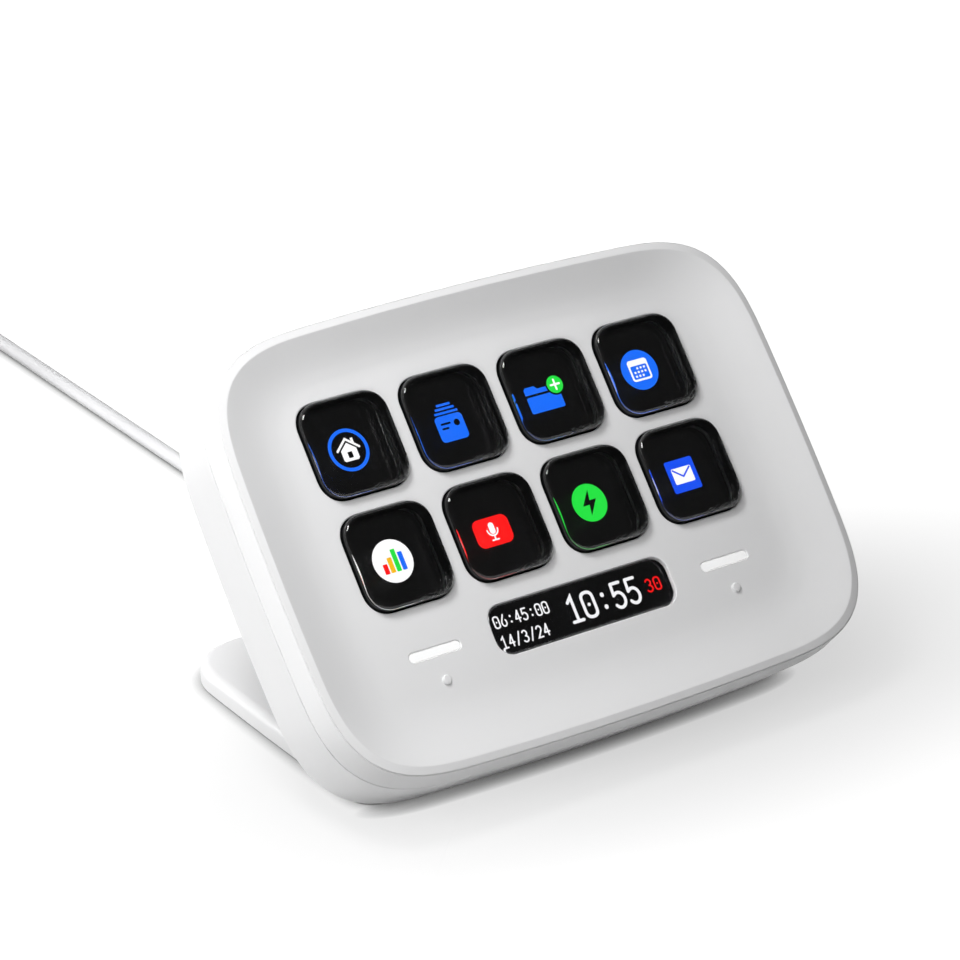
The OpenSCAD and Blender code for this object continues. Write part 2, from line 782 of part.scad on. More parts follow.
front_bezel();
rear_shell();
foot();
foot_weight();
base_pad();
key_cap(1);  // key_cap_1
key_cap(2);  // key_cap_2
key_cap(3);  // key_cap_3
key_cap(4);  // key_cap_4
key_cap(5);  // key_cap_5
key_cap(6);  // key_cap_6
key_cap(7);  // key_cap_7
key_cap(8);  // key_cap_8
dome_mat();
key_board();
key_display();
display_tray();
display_ribbon();
info_lens();
info_display();
touch_bar(-1);  // touch_bar_left
touch_bar(1);  // touch_bar_right
touch_lamps();
main_board();
board_chips();
board_socket();
inner_lead();
case_screws();
board_screws();
foot_screws();
cord_boot();
cord();
cord_coil();
coil_tie();
plug_grip();
plug_shell();
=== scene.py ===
"""Desk keypad with clear display keys: its finishes, displays and cord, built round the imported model.

Sizes are in millimetres until a mesh is made, and those of the camera, the floor and the lamps are in
metres. "Slab" is the leaning housing: its x runs right, y up the face and z out of the face, with
z = 0 on the flat middle of the dished front.
"""
import math

import bpy
from mathutils import Matrix, Vector
from mathutils.geometry import delaunay_2d_cdt


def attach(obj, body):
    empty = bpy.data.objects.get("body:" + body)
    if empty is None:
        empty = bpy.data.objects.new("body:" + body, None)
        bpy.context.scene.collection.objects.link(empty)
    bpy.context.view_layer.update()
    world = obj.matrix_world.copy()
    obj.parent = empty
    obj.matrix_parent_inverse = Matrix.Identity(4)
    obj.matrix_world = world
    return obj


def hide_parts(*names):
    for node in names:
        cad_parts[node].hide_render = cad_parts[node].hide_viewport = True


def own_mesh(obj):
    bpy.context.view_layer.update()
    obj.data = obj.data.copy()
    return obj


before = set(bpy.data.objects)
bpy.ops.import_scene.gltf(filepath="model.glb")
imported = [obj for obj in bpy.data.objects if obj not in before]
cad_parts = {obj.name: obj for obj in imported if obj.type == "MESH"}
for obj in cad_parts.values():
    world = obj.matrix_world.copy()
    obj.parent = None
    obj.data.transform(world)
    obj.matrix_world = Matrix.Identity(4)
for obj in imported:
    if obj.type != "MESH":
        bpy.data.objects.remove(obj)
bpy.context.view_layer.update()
MM = 0.001


# ---------------------------------------------------------------- the housing, as constructed
SLAB_W = 106
SLAB_H = 76.8
TILT = math.radians(49.5)
SLAB_T = 17.4
SIDE_WALL = 5
CORNER_R = 23.4
CORNER_POWER = 3.5
BOW_X = 1.1
BOW_Y = 1.6
DRAFT = 0.6
WALL = 2
BACK_R = 1.2
DISH_DEPTH = 3.1
LAND_W = 1.4
LAND_DROP = 0.35
SLOPE_SIDE = 12.6
SLOPE_TOP = 9.8
SLOPE_BOTTOM = 12
PLATE_T = 1.2
PITCH = 19.4
KEY_S = 16.4
KEY_R = 4.2
KEY_POWER = 2.3
KEY_GAP = 0.2
KEY_OUT = 1.5
KEYS_Y = 7.8
INFO_W = 35.8
INFO_H = 8.6
INFO_R = 2.8
INFO_Y = 18.2
BAR_X = 29
BAR_W = 9.8
BAR_H = 1.7
BAR_R = BAR_H / 2 - 0.02
BUMP_DROP = 4.9
BUMP_R = 0.8
BUMP_H = 0.45
FOOT_BACK = 46.5
SLAB_CLEAR = 0.25
CORD_D = 2.8

EDGE_Z = DISH_DEPTH - LAND_DROP
SEAM_Z = EDGE_Z - SIDE_WALL
SEAM_GAP = 0.25
SEAM_TOP = SEAM_Z + SEAM_GAP / 2
SEAM_LOW = SEAM_Z - SEAM_GAP / 2
BACK_Z = EDGE_Z - SLAB_T
FLOOR_Z = BACK_Z + WALL
FLANGE_Z = -2
FLANGE_T = 0.6
FLANGE_OUT = 0.7
CAP_BACK_Z = -2.6
CAP_TRAVEL = 1
CORE_INSET = 0.6
FIT_GAP = 0.05
UNDER_PLATE = -PLATE_T - FIT_GAP
DISPLAY_Z = -3.97
LENS_Z = -2
LENS_SINK = 0.3
INFO_DISPLAY_Z = -2.05
BAR_Z = -2.4
BAR_SINK = 0.15
CASE_SCREW = (SLAB_W / 2 - 9.8, SLAB_H / 2 - 10.2)
HEAD_D = 4
HEAD_T = 1.6
HEAD_SINK = 0.6
SLAB_Y = (SLAB_H / 2 * math.cos(TILT) + EDGE_Z * math.sin(TILT) - FOOT_BACK) / 2
LOW_ARC = (SLAB_H / 2 - BACK_R) * math.sin(TILT) - (BACK_Z + BACK_R) * math.cos(TILT)
SLAB_Z = LOW_ARC + BACK_R + SLAB_CLEAR
ON_SLAB = Matrix.Translation((0, SLAB_Y, SLAB_Z)) @ Matrix.Rotation(TILT, 4, "X")
HOUSING = "housing"


# ---------------------------------------------------------------- camera
CAMERA_AT = (-0.3106, -0.4422, 0.2856)
CAMERA_TURN = (65.45, 0, -34.6)
CAMERA_LENS = 135
CAMERA_SENSOR = 36


def make_camera():
    data = bpy.data.cameras.new("camera")
    data.lens = CAMERA_LENS
    data.sensor_width = CAMERA_SENSOR
    camera = bpy.data.objects.new("camera", data)
    camera.location = CAMERA_AT
    camera.rotation_euler = [math.radians(turn) for turn in CAMERA_TURN]
    bpy.context.collection.objects.link(camera)
    bpy.context.scene.camera = camera


# ---------------------------------------------------------------- the cord's route
BOOT_TIP = (0, 20.3, 9.1)
CORD_OUT = [
    BOOT_TIP, (0, 24, 9), (0, 28, 8.4), (0, 32, 7.2), (0, 36, 6), (0, 40, 4.6),
    (0, 44, 3.2), (0, 48, 2.2), (0, 52, 1.6), (0, 57, 1.4), (0, 70, 1.4), (0, 90, 1.4),
    (0, 110, 1.4), (0, 130, 1.4), (0, 150, 1.4), (0, 170, 1.4), (0, 190, 1.4),
    (0, 205, 1.4), (0, 216, 1.6), (0, 227, 1.9),
]
CORD_END = [
    (-33.6, 228, 10.3), (-33.6, 221, 10.1), (-33.6, 216, 8.6), (-33.6, 211, 6.2),
    (-33.6, 206, 4.2), (-33.6, 200, 3.2),
]
COIL_AT = (-19.6, 236)
COIL_R = 5.5 * CORD_D
COIL_TURNS = 12.5
TIE_T = 0.5
LANES = 4
FIRST_CHANGE = 280
CHANGE = 60
TURN_POINTS = 24


def coil_steps():
    """(total angle, lane, layer) where the winding keeps or changes its lane, lanes from outside in."""
    steps = [(0, 0, 0)]
    lane, angle = 0, FIRST_CHANGE
    inward = True
    for layer in range(LANES):
        for _ in range(LANES - 1):
            new = lane + 1 if inward else lane - 1
            steps += [(angle, lane, layer), (angle + CHANGE, new, layer)]
            lane = new
            angle += 360
            if layer == LANES - 1:
                return steps
        rise = angle - CHANGE
        steps += [(rise, lane, layer), (rise + CHANGE, lane, layer + 1)]
        angle = rise + 360 - CHANGE
        inward = not inward
    return steps


def coil_points(last_angle):
    """Points of the winding up to an angle, which ease from one lane or layer to the next."""
    steps = coil_steps()
    count = int(last_angle / 360 * TURN_POINTS)
    points = []
    for i in range(1, count + 1):
        angle = last_angle * i / count
        k = max(n for n, step in enumerate(steps) if step[0] <= angle)
        a, lane, layer = steps[k]
        if k + 1 < len(steps):
            b, lane_b, layer_b = steps[k + 1]
            s = (angle - a) / (b - a)
            s = s * s * (3 - 2 * s)
            lane += (lane_b - lane) * s
            layer += (layer_b - layer) * s
        r = COIL_R + ((LANES - 1) / 2 - lane) * CORD_D
        turn = math.radians(angle)
        points.append((COIL_AT[0] + r * math.cos(turn), COIL_AT[1] + r * math.sin(turn),
                       TIE_T + CORD_D * (layer + 0.5)))
    return points


def make_cord(finish):
    coil_start = (0, COIL_AT[1], TIE_T + CORD_D / 2)
    route = CORD_OUT + [coil_start] + coil_points(COIL_TURNS * 360) + CORD_END
    curve = bpy.data.curves.new("cord_line", "CURVE")
    curve.dimensions = "3D"
    curve.bevel_depth = CORD_D / 2 * MM
    curve.bevel_resolution = 6
    curve.resolution_u = 6
    curve.use_fill_caps = True
    line = curve.splines.new("BEZIER")
    line.bezier_points.add(len(route) - 1)
    for knot, point in zip(line.bezier_points, route):
        knot.co = Vector(point) * MM
        knot.handle_left_type = knot.handle_right_type = "AUTO"
    cord = bpy.data.objects.new("cord_line", curve)
    bpy.context.collection.objects.link(cord)
    cord.data.materials.append(finish)
    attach(cord, HOUSING)
    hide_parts("cord", "cord_coil")


# ---------------------------------------------------------------- finishes
WAVE_WIDTH = math.tau / 20  # of one band at a scale of 1


class Wire:
    """An output of a node, which takes part in sums and products."""

    def __init__(self, nodes, socket):
        self.nodes = nodes
        self.socket = socket

    def maths(self, operation, first, second):
        return self.nodes.add("ShaderNodeMath", {"operation": operation}, {0: first, 1: second})

    def __add__(self, other):
        return self.maths("ADD", self, other)

    def __radd__(self, other):
        return self.maths("ADD", other, self)

    def __sub__(self, other):
        return self.maths("SUBTRACT", self, other)

    def __rsub__(self, other):
        return self.maths("SUBTRACT", other, self)

    def __mul__(self, other):
        return self.maths("MULTIPLY", self, other)

    def __rmul__(self, other):
        return self.maths("MULTIPLY", other, self)


class Nodes:
    """A tree of nodes under construction."""

    def __init__(self, tree):
        self.tree = tree
        self.tree.nodes.clear()

    def add(self, kind, settings=None, inputs=None, output=0):
        """Adds a node: its settings first, then what its sockets hold or are linked to."""
        node = self.tree.nodes.new(kind)
        for name, value in (settings or {}).items():
            if name == "stops":
                fill_ramp(node.color_ramp, value)
            else:
                setattr(node, name, value)
        for name, value in (inputs or {}).items():
            if isinstance(value, Wire):
                self.tree.links.new(value.socket, node.inputs[name])
            else:
                node.inputs[name].default_value = value
        return Wire(self, node.outputs[output]) if len(node.outputs) else None


class Finish(Nodes):
    """A material under construction."""

    def __init__(self, name):
        self.material = bpy.data.materials.new(name)
        self.material.use_nodes = True
        super().__init__(self.material.node_tree)

    def place(self):
        return self.add("ShaderNodeTexCoord", output="Object")

    def noise(self, per_mm, detail, at=None):
        """Even noise from 0 to 1 with this many features to a millimetre."""
        return self.add("ShaderNodeTexNoise", {}, {
            "Vector": at or self.place(), "Scale": per_mm / MM, "Detail": detail})

    def stretched(self, scale):
        return self.add("ShaderNodeMapping", {}, {"Vector": self.place(), "Scale": scale})

    def waves(self, axis, per_mm):
        """Soft bands across an axis, from 0 to 1, with this many to a millimetre."""
        return self.add("ShaderNodeTexWave", {"bands_direction": axis}, {
            "Vector": self.place(), "Scale": per_mm / MM * WAVE_WIDTH, "Distortion": 0.3,
            "Detail": 1}, output=1)

    def bump(self, height, depth):
        """A normal raised by height, from 0 to 1, times depth in millimetres."""
        return self.add("ShaderNodeBump", {}, {
            "Strength": 1, "Distance": depth * MM, "Height": height})

    def blend(self, share, first, second):
        return self.add("ShaderNodeMix", {"data_type": "RGBA"},
                        {0: share, 6: rgba(first), 7: rgba(second)}, output=2)

    def surface(self, **values):
        """Ends the finish: a surface whose sockets are named in lower case, joined by underscores."""
        names = {name.replace("_", " ").title().replace("Ior", "IOR"): value
                 for name, value in values.items()}
        for name in ("Base Color", "Emission Color"):
            if name in names:
                names[name] = rgba(names[name])
        shader = self.add("ShaderNodeBsdfPrincipled", {}, names)
        return self.out(shader)

    def out(self, shader):
        self.add("ShaderNodeOutputMaterial", {}, {"Surface": shader})
        return self.material


def rgba(colour):
    if isinstance(colour, Wire) or len(colour) == 4:
        return colour
    return (*colour, 1)


def fill_ramp(ramp, stops):
    while len(ramp.elements) > 1:
        ramp.elements.remove(ramp.elements[0])
    for n, (place, colour) in enumerate(stops):
        stop = ramp.elements[0] if n == 0 else ramp.elements.new(place)
        stop.position = place
        stop.color = rgba(colour)


def moulded(name, light, dark, roughness, grain, grain_depth, gloss=0.5):
    """Moulded plastic or rubber: faint mottling, a matt sheen that varies and a fine grain."""
    f = Finish(name)
    cloud = f.noise(0.05, 3)
    fine = f.noise(grain, 2)
    return f.surface(
        base_color=f.blend(cloud, light, dark),
        roughness=roughness - 0.04 + 0.08 * f.noise(0.6, 2), specular_ior_level=gloss,
        normal=f.bump(fine, grain_depth))


def plated(name, light, dark, roughness, lines):
    """Bright metal: a cloudy tone, gloss that comes and goes, and fine lines from the tools."""
    f = Finish(name)
    cloud = f.noise(0.4, 3)
    drawn = f.noise(lines, 2, f.stretched((1, 0.08, 1)))
    return f.surface(
        base_color=f.blend(cloud, light, dark), metallic=1,
        roughness=roughness + 0.14 * (cloud - 0.5) + 0.1 * (drawn - 0.5),
        normal=f.bump(drawn, 0.004))


def woven(name, light, dark, roughness, threads, depth):
    """Crossing threads under a skin: glass cloth in a board, or a strap's hooks."""
    f = Finish(name)
    across = f.waves("X", threads)
    along = f.waves("Y", threads)
    cloth = f.add("ShaderNodeMath", {"operation": "MAXIMUM"}, {0: across, 1: along})
    cloud = f.noise(0.15, 3)
    return f.surface(
        base_color=f.blend(0.6 * cloth + 0.4 * cloud, dark, light),
        roughness=roughness + 0.12 * (cloud - 0.5), normal=f.bump(cloth, depth))


def film():
    """Amber film with the dark lines of its copper tracks."""
    f = Finish("ribbon film")
    tracks = f.add(
        "ShaderNodeValToRGB", {"stops": [(0.45, (0.36, 0.16, 0.03)), (0.6, (0.2, 0.08, 0.02))]},
        {"Fac": f.waves("X", 1.6)})
    return f.surface(base_color=tracks, roughness=0.25 + 0.1 * f.noise(1, 2),
                     normal=f.bump(f.noise(0.3, 2), 0.02))


def clear(name, tint, ripples=0, depth=0):
    """Clear polished plastic, with hair lines only in its gloss, and ripples where its flow met."""
    f = Finish(name)
    looks = {"base_color": tint, "roughness": 0.02 * f.noise(0.8, 3), "ior": 1.49,
             "transmission_weight": 1}
    if ripples:
        looks["normal"] = f.bump(f.noise(ripples, 2), depth)
    return f.surface(**looks)


LIT_LEVEL = 1.08


def lit(name, colour):
    """One colour of a display, a little over its own level."""
    return Finish("lit " + name).surface(
        base_color=(0.01, 0.01, 0.01), roughness=0.4, emission_color=colour, emission_strength=LIT_LEVEL)


# ---------------------------------------------------------------- outlines
SIDE_STEPS = 10
CORNER_STEPS = 36
END_STEPS = 20


def quarter(a, b, r, power, side, corner, end):
    """Points of a quarter outline from the right side to the top, evenly spread."""
    points = [(a, (b - r) * i / side) for i in range(side)]
    for i in range(corner + 1):
        c, s = math.cos(math.pi / 2 * i / corner), math.sin(math.pi / 2 * i / corner)
        reach = r / (c ** power + s ** power) ** (1 / power)
        points.append((a - r + reach * c, b - r + reach * s))
    return points + [((a - r) * (1 - i / end), b) for i in range(1, end + 1)]


def whole(upper, lower=None):
    """A whole outline from its upper right quarter, and another one for below where that differs."""
    lower = lower or upper
    return (upper[:-1] + [(-x, y) for x, y in upper[:0:-1]]
            + [(-x, -y) for x, y in lower[:-1]] + [(x, -y) for x, y in lower[:0:-1]])


def slab_quarter(a, b, r):
    """A quarter of the housing's outline, whose sides bow."""
    return [(x - BOW_X * (y / b) ** 2 * x / a, y - BOW_Y * (x / a) ** 2 * y / b)
            for x, y in quarter(a, b, r, CORNER_POWER, SIDE_STEPS, CORNER_STEPS, END_STEPS)]


def slab_outline(grow):
    return whole(slab_quarter(SLAB_W / 2 + grow, SLAB_H / 2 + grow, CORNER_R + grow))


def half_height(inset, slope):
    """Half height of the dish where its sides stand in by inset, over a slope as wide as given."""
    return SLAB_H / 2 - inset - max(0, inset - LAND_W) * (slope / SLOPE_SIDE - 1)


def dish_outline(inset):
    a, r = SLAB_W / 2 - inset, CORNER_R - inset
    return whole(slab_quarter(a, half_height(inset, SLOPE_TOP), r),
                 slab_quarter(a, half_height(inset, SLOPE_BOTTOM), r))


def moved(loop, at):
    return [(x + at[0], y + at[1]) for x, y in loop]


def key_outline(grow, at):
    h, r = KEY_S / 2 + grow, KEY_R + grow
    corner = quarter(h, h, r, KEY_POWER, side=3, corner=14, end=3)
    return moved(whole(corner), at)


def rounded(w, h, r, at=(0, 0)):
    return moved(whole(quarter(w / 2, h / 2, r, power=2, side=2, corner=8, end=4)), at)


def grown(w, h, r, grow, at):
    return rounded(w + 2 * grow, h + 2 * grow, r + grow, at)


def circle(r, at=(0, 0), sides=32):
    turns = [math.tau * i / sides for i in range(sides)]
    return [(at[0] + r * math.cos(turn), at[1] + r * math.sin(turn)) for turn in turns]


def over_edge(at, wide, high, steps):
    """Section points that turn over an edge, from its side to its top, within a corner at a place."""
    turns = [math.pi / 2 * k / steps for k in range(steps + 1)]
    return [(at[0] - wide * (1 - math.cos(turn)), at[1] - high * (1 - math.sin(turn)))
            for turn in turns]


def inside(point, loop):
    x, y = point
    hit = False
    for (xa, ya), (xb, yb) in zip(loop, loop[1:] + loop[:1]):
        if (ya > y) != (yb > y) and x < (xb - xa) * (y - ya) / (yb - ya) + xa:
            hit = not hit
    return hit


KEY_PLACES = [((n % 4 - 1.5) * PITCH, KEYS_Y + (0.5 - n // 4) * PITCH) for n in range(8)]
SIDES = (-1, 1)
SCREW_PLACES = [(x * CASE_SCREW[0], y * CASE_SCREW[1]) for x in SIDES for y in SIDES]


# ---------------------------------------------------------------- skins
SAME_DIGITS = 4
SAME_PLACE = 1e-5


class Skin:
    """A mesh under construction, whose points are shared where they fall together."""

    def __init__(self):
        self.points = []
        self.index = {}
        self.faces = []
        self.marks = []

    def at(self, p):
        key = tuple(round(c, SAME_DIGITS) for c in p)
        if key not in self.index:
            self.index[key] = len(self.points)
            self.points.append(p)
        return self.index[key]

    def face(self, points, mark=0):
        corners = []
        for p in points:
            n = self.at(p)
            if n not in corners:
                corners.append(n)
        if len(corners) > 2:
            self.faces.append(corners)
            self.marks.append(mark)

    def bridge(self, below, above, mark=0):
        """A band between two closed loops, outwards when they run anticlockwise from below to above."""
        for i in range(len(below)):
            j = (i + 1) % len(below)
            self.face([below[i], below[j], above[j], above[i]], mark)

    def stack(self, loops, mark=0):
        for below, above in zip(loops, loops[1:]):
            self.bridge(below, above, mark)

    def sheet(self, outer, holes, height, up=True, rings=()):
        """A triangulated sheet inside outer and outside the holes, at the height of each place."""
        flat, edges = [], []
        for loop in [outer, *holes, *rings]:
            start = len(flat)
            flat += [Vector(p) for p in loop]
            edges += [(start + i, start + (i + 1) % len(loop)) for i in range(len(loop))]
        points, _, faces = delaunay_2d_cdt(flat, edges, [], 0, SAME_PLACE)[:3]
        for corners in faces:
            middle = sum((points[n] for n in corners), Vector((0, 0))) / len(corners)
            if not inside(middle, outer) or any(inside(middle, hole) for hole in holes):
                continue
            self.face([(*points[n], height(*points[n])) for n in (corners if up else corners[::-1])])

    def make(self, name, finishes, slot, sharp=30, ride=HOUSING, replaces=()):
        """Makes the piece, smooth except over edges sharper than an angle, in its place on the slab."""
        mesh = bpy.data.meshes.new(name)
        mesh.from_pydata([(ON_SLAB @ Vector(p)) * MM for p in self.points], [], self.faces)
        mesh.shade_smooth()
        mesh.set_sharp_from_angle(angle=math.radians(sharp))
        for finish in finishes:
            mesh.materials.append(finish)
        mesh.polygons.foreach_set("material_index", self.marks)
        thing = bpy.data.objects.new(name, mesh)
        bpy.context.collection.objects.link(thing)
        weighted = thing.modifiers.new("flat faces stay flat", "WEIGHTED_NORMAL")
        weighted.keep_sharp = True
        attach(thing, ride)
        if replaces:
            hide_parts(*replaces)
        return thing


def lifted(loop, z):
    return [(x, y, z) for x, y in loop]


def level(z):
    return lambda x, y: z


def closed(skin, loops):
    """A closed body from loops that run anticlockwise, from its underside to its top."""
    skin.face(loops[0][::-1])
    skin.stack(loops)
    skin.face(loops[-1])


# ---------------------------------------------------------------- front
RIM_ROUND = 0.1
RIM_DROP = 0.1
GROOVE_D = 0.2
GROOVE_W = 0.1
GROOVE_EDGE = 0.04
LIP = 0.06
JOIN = 10.5
DISH_RINGS = (0.5, 0.9, 1.25, 1.32, 1.36, 1.4, 1.44, 1.48, 1.55, 1.8, 2.1, 2.5,
              3, 3.6, 4.3, 5.1, 6, 7, 8, 9, JOIN)
MIDDLE_RINGS = (11.1, 11.6, 12.1, 12.6, 13, 13.4, 14)
CREST_BLEND = 0.1
RUN_OUT = 0.6  # gives the dish's slope a level end on the flat middle
UNDER_INSET = 2.15
KEY_EDGE = 0.25
INFO_EDGE = 0.2
BAR_EDGE = 0.15
EDGE_STEPS = 4
NUB_ROUND = 0.3


def face_height(inset):
    """Height of the front at a distance in from its edge: the land, a soft crest and the dish."""
    land = EDGE_Z + LAND_DROP / LAND_W * inset
    s = min(1, (inset - LAND_W) / SLOPE_SIDE)
    dish = DISH_DEPTH * (1 - (s - s ** 4 + RUN_OUT * s ** 5) / RUN_OUT)
    share = min(1, max(0, 0.5 + 0.5 * (dish - land) / CREST_BLEND))
    return dish * (1 - share) + land * share - CREST_BLEND * share * (1 - share)


def outside(x, y, inset):
    """Above zero where a place lies outside the outline at an inset."""
    a, r = SLAB_W / 2 - inset, CORNER_R - inset
    b = half_height(inset, SLOPE_TOP if y > 0 else SLOPE_BOTTOM)
    wide, high = abs(x), abs(y)
    for _ in range(4):
        wide = abs(x) / (1 - BOW_X * (high / b) ** 2 / a)
        high = abs(y) / (1 - BOW_Y * (wide / a) ** 2 / b)
    u, v = max(0, wide - (a - r)), max(0, high - (b - r))
    return (u ** CORNER_POWER + v ** CORNER_POWER) ** (1 / CORNER_POWER) - r


def height_at(x, y):
    """Height of the front at a place, from the inset of the outline that runs through it."""
    low, high = JOIN - 1, LAND_W + SLOPE_SIDE
    if outside(x, y, high) <= 0:
        return 0.0
    for _ in range(30):
        middle = (low + high) / 2
        if outside(x, y, middle) > 0:
            high = middle
        else:
            low = middle
    return face_height(low)


def openings():
    """Each opening of the face: its loop at a growth, and the radius of its edge."""
    for at in KEY_PLACES:
        yield (lambda grow, at=at: key_outline(KEY_GAP + grow, at)), KEY_EDGE
    yield (lambda grow: grown(INFO_W, INFO_H, INFO_R, grow, (0, -INFO_Y))), INFO_EDGE
    for side in SIDES:
        yield (lambda grow, at=(side * BAR_X, -INFO_Y): grown(BAR_W, BAR_H, BAR_R, grow, at)), BAR_EDGE


def make_face(finish):
    """Front moulding: its wall, groove, land and dish, the openings with soft edges, and two nubs."""
    skin = Skin()
    wall = [(-UNDER_INSET, -PLATE_T), (-UNDER_INSET, SEAM_TOP), (DRAFT - LIP, SEAM_TOP),
            (DRAFT, SEAM_TOP + LIP)]
    wall += over_edge((0, EDGE_Z - RIM_DROP), RIM_ROUND, RIM_ROUND, 3)
    groove = RIM_ROUND + GROOVE_W
    wall += [(-RIM_ROUND, EDGE_Z - GROOVE_D), (-groove, EDGE_Z - GROOVE_D),
             (-groove, face_height(groove) - GROOVE_EDGE),
             (-groove - GROOVE_EDGE, face_height(groove + GROOVE_EDGE))]
    skin.stack([lifted(slab_outline(grow), z) for grow, z in wall]
               + [lifted(dish_outline(inset), face_height(inset)) for inset in DISH_RINGS])
    edges = []
    for loop, radius in openings():
        edges.append(loop(radius))
        tops = [height_at(x, y) for x, y in edges[-1]]
        rings = []
        for k in range(EDGE_STEPS + 1):
            turn = math.pi / 2 * k / EDGE_STEPS
            rings.append([(x, y, z - radius * (1 - math.cos(turn)))
                          for (x, y), z in zip(loop(radius * (1 - math.sin(turn))), tops)])
        rings.append(lifted(loop(0), -PLATE_T))
        skin.stack([ring[::-1] for ring in rings[::-1]])
    skin.sheet(dish_outline(JOIN), edges, height_at,
               rings=[dish_outline(inset) for inset in MIDDLE_RINGS])
    skin.sheet(slab_outline(-UNDER_INSET), [loop(0) for loop, _ in openings()], level(-PLATE_T),
               up=False)
    nub = [(BUMP_R, -NUB_ROUND)] + over_edge((BUMP_R, BUMP_H), NUB_ROUND, NUB_ROUND, 5)
    for side in SIDES:
        at = (side * BAR_X, -INFO_Y - BUMP_DROP)
        closed(skin, [lifted(circle(r, at), z) for r, z in nub])
    skin.make("face_moulding", [finish], "white_plastic", replaces=["front_bezel"])


# ---------------------------------------------------------------- rear shell
WELL_R = HEAD_D / 2 + 0.2
WELL_ROUND = 0.15
TONGUE_IN = 3.4
TONGUE_OUT = 2.3
TONGUE_ROOT = 1.7
TONGUE_LOW = -4.85
TONGUE_SHELF = -3
TONGUE_SECTION = (
    (-TONGUE_IN, TONGUE_LOW), (-TONGUE_ROOT, TONGUE_LOW), (-TONGUE_ROOT, TONGUE_SHELF),
    (-TONGUE_OUT, TONGUE_SHELF), (-TONGUE_OUT, UNDER_PLATE), (-TONGUE_IN, UNDER_PLATE),
    (-TONGUE_IN, TONGUE_LOW))


def make_back(finish):
    """Rear shell with its screw wells, and the tongue that enters the front."""
    skin = Skin()
    skin.sheet(slab_outline(-BACK_R), [circle(WELL_R + WELL_ROUND, at) for at in SCREW_PLACES],
               level(BACK_Z), up=False)
    profile = [(grow, -z) for grow, z in over_edge((0, -BACK_Z), BACK_R, BACK_R, 10)[::-1]]
    profile += [(DRAFT, SEAM_LOW - LIP), (DRAFT - LIP, SEAM_LOW), (-WALL, SEAM_LOW), (-WALL, FLOOR_Z)]
    loops = [lifted(slab_outline(grow), z) for grow, z in profile]
    skin.stack(loops)
    skin.face(loops[-1])
    for at in SCREW_PLACES:
        rings = [lifted(circle(WELL_R + WELL_ROUND * (1 - math.sin(turn)), at),
                        BACK_Z + WELL_ROUND * (1 - math.cos(turn)))
                 for turn in (0, math.pi / 4, math.pi / 2)]
        rings.append(lifted(circle(WELL_R, at), BACK_Z + HEAD_SINK + HEAD_T))
        skin.stack(rings)
        skin.face(rings[-1][::-1])
    skin.stack([lifted(slab_outline(grow), z) for grow, z in TONGUE_SECTION])
    skin.make("rear_moulding", [finish], "white_plastic", replaces=["rear_shell"])


CROSS_W = 0.6
CROSS_REACH = 1.1
CROSS_DEPTH = 0.9
HEAD_FACE_R = HEAD_D / 2 - 0.3
SHANK_R = 1.1
SHANK_END = 9
# (radius, depth) from the head's face to the end of the shank
SCREW_SECTION = (
    (HEAD_FACE_R, 0), (HEAD_D / 2 - 0.1, 0.08), (HEAD_D / 2, 0.3), (HEAD_D / 2, HEAD_T),
    (SHANK_R, HEAD_T), (SHANK_R, SHANK_END))


def make_case_screws(finish):
    """Four screws with a cross drive in the rear shell's wells."""
    skin = Skin()
    arm = ((CROSS_W / 2, CROSS_W / 2), (CROSS_W / 2, CROSS_REACH), (-CROSS_W / 2, CROSS_REACH))
    drive = []
    for n in range(4):
        turn = Matrix.Rotation(math.pi / 2 * n, 2)
        drive += [turn @ Vector(p) for p in arm]
    face = BACK_Z + HEAD_SINK
    for at in SCREW_PLACES:
        cross = moved(drive[::-1], at)
        rings = [lifted(circle(r, at), face + depth) for r, depth in SCREW_SECTION]
        skin.sheet(circle(HEAD_FACE_R, at), [cross], level(face), up=False)
        skin.stack(rings)
        skin.face(rings[-1])
        skin.bridge(lifted(cross[::-1], face + CROSS_DEPTH), lifted(cross[::-1], face))
        skin.face(lifted(cross, face + CROSS_DEPTH))
    skin.make("case_screw_set", [finish], "steel", replaces=["case_screws"])


# ---------------------------------------------------------------- caps, lens and bars
CORE_EDGE = 0.1
FLANGE_EDGE = 0.05
SHOULDER = 0.95
SHOULDER_DROP = 0.8
BLACK_RINGS = 3
RIPPLED_BELOW = -0.25 * KEY_S
CLEAR, DARK, RIPPLED = range(3)
LENS_FLANGE = 1
LENS_EDGE_W = 0.45
LENS_EDGE_H = 0.35
BAR_FLANGE = 0.8
BAR_GAP = 0.1
BAR_ROUND = 0.15


